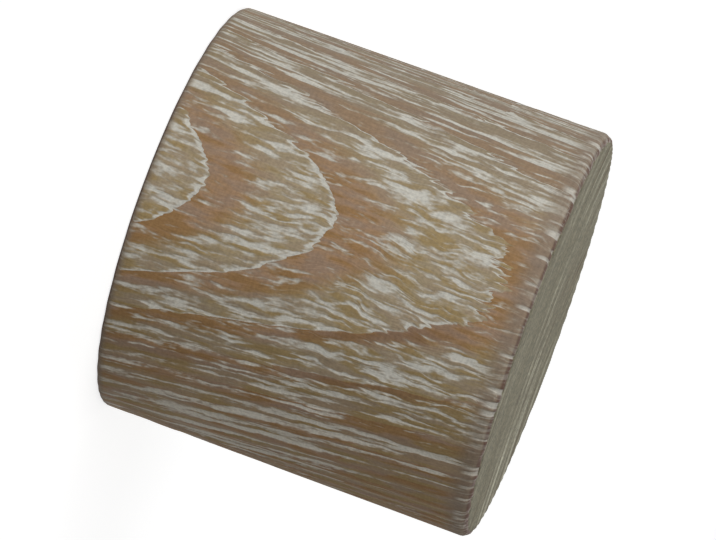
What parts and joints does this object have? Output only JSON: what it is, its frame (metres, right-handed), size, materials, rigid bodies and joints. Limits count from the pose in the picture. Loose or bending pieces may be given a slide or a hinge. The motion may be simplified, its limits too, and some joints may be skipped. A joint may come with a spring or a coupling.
{
  "type": "curtain pole finial",
  "caption": "Plain cylindrical wooden finial with sanded rims that screws to the end of a curtain pole, in brushed and limed open-grain hardwood.",
  "frame": {"origin": "centre of the flat pole-end face, which the finial also stands on", "axes": "+Z along the pole's axis from the pole end to the free end; X and Y across it, with the grain's arched figure facing -Y"},
  "size_m": [0.05, 0.05, 0.046],
  "materials": {
    "limed_wood": "brushed open-grain hardwood with white lime rubbed into the pores, matt"
  },
  "bodies": {
    "root": {"finial_body": "limed_wood"}
  },
  "joints": []
}
